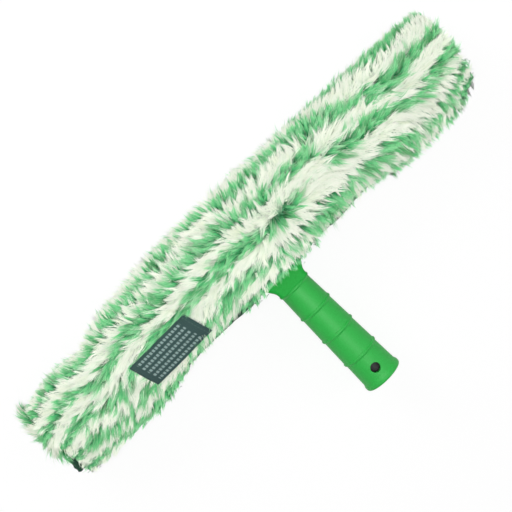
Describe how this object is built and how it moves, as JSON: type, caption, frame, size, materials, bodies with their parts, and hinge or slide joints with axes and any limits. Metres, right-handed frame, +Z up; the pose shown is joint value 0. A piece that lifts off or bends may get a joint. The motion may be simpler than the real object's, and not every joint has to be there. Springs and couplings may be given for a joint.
{
  "type": "window scrubber",
  "caption": "T-bar window scrubber with a ringed hand grip, a pole socket and a striped plush sleeve whose two closure flaps lift.",
  "frame": {"origin": "middle of the pole socket's mouth at the end of the handle", "axes": "+X along the crossbar, +Y from the socket's mouth to the bar, +Z up from the floor the sleeve lies on"},
  "size_m": [0.352, 0.1567, 0.044],
  "materials": {
    "bar_plastic": "moulded, fine grain",
    "handle_plastic": "moulded, satin",
    "core_plastic": "moulded, matt",
    "grip_rubber": "soft matt",
    "fastener": "stainless",
    "plush": "long striped pile",
    "tape": "hook and loop",
    "label": "woven ribbon",
    "thread": "twisted thread"
  },
  "bodies": {
    "frame": {"crossbar": "bar_plastic", "end_plug_left": "bar_plastic", "end_plug_right": "bar_plastic", "hub_front": "handle_plastic", "hub_back": "handle_plastic", "hub_screws": "fastener", "hub_nuts": "fastener", "handle_core": "core_plastic", "grip": "grip_rubber", "neck_pin": "fastener", "sleeve_plush": "plush", "end_gusset_left": "plush", "end_gusset_right": "plush", "loop_tape_left": "tape", "loop_tape_right": "tape"},
    "left_flap": {"flap_left": "plush", "hook_tape_left": "tape"},
    "right_flap": {"flap_right": "plush", "hook_tape_right": "tape"},
    "label_tag": {"label": "label", "label_stitches": "thread"}
  },
  "joints": [
    {"name": "flap_left_open", "type": "hinge", "parent": "frame", "child": "left_flap", "pos_m": [-0.0985, 0.1242, 0.0135], "axis": [-1, 0, 0], "range_deg": [0, 60]},
    {"name": "flap_right_open", "type": "hinge", "parent": "frame", "child": "right_flap", "pos_m": [0.0985, 0.1242, 0.0135], "axis": [-1, 0, 0], "range_deg": [0, 60]},
    {"name": "label_lift", "type": "hinge", "parent": "left_flap", "child": "label_tag", "pos_m": [-0.056, 0.11025, 0.0203], "axis": [0, 1, 0], "range_deg": [0, 70]}
  ]
}
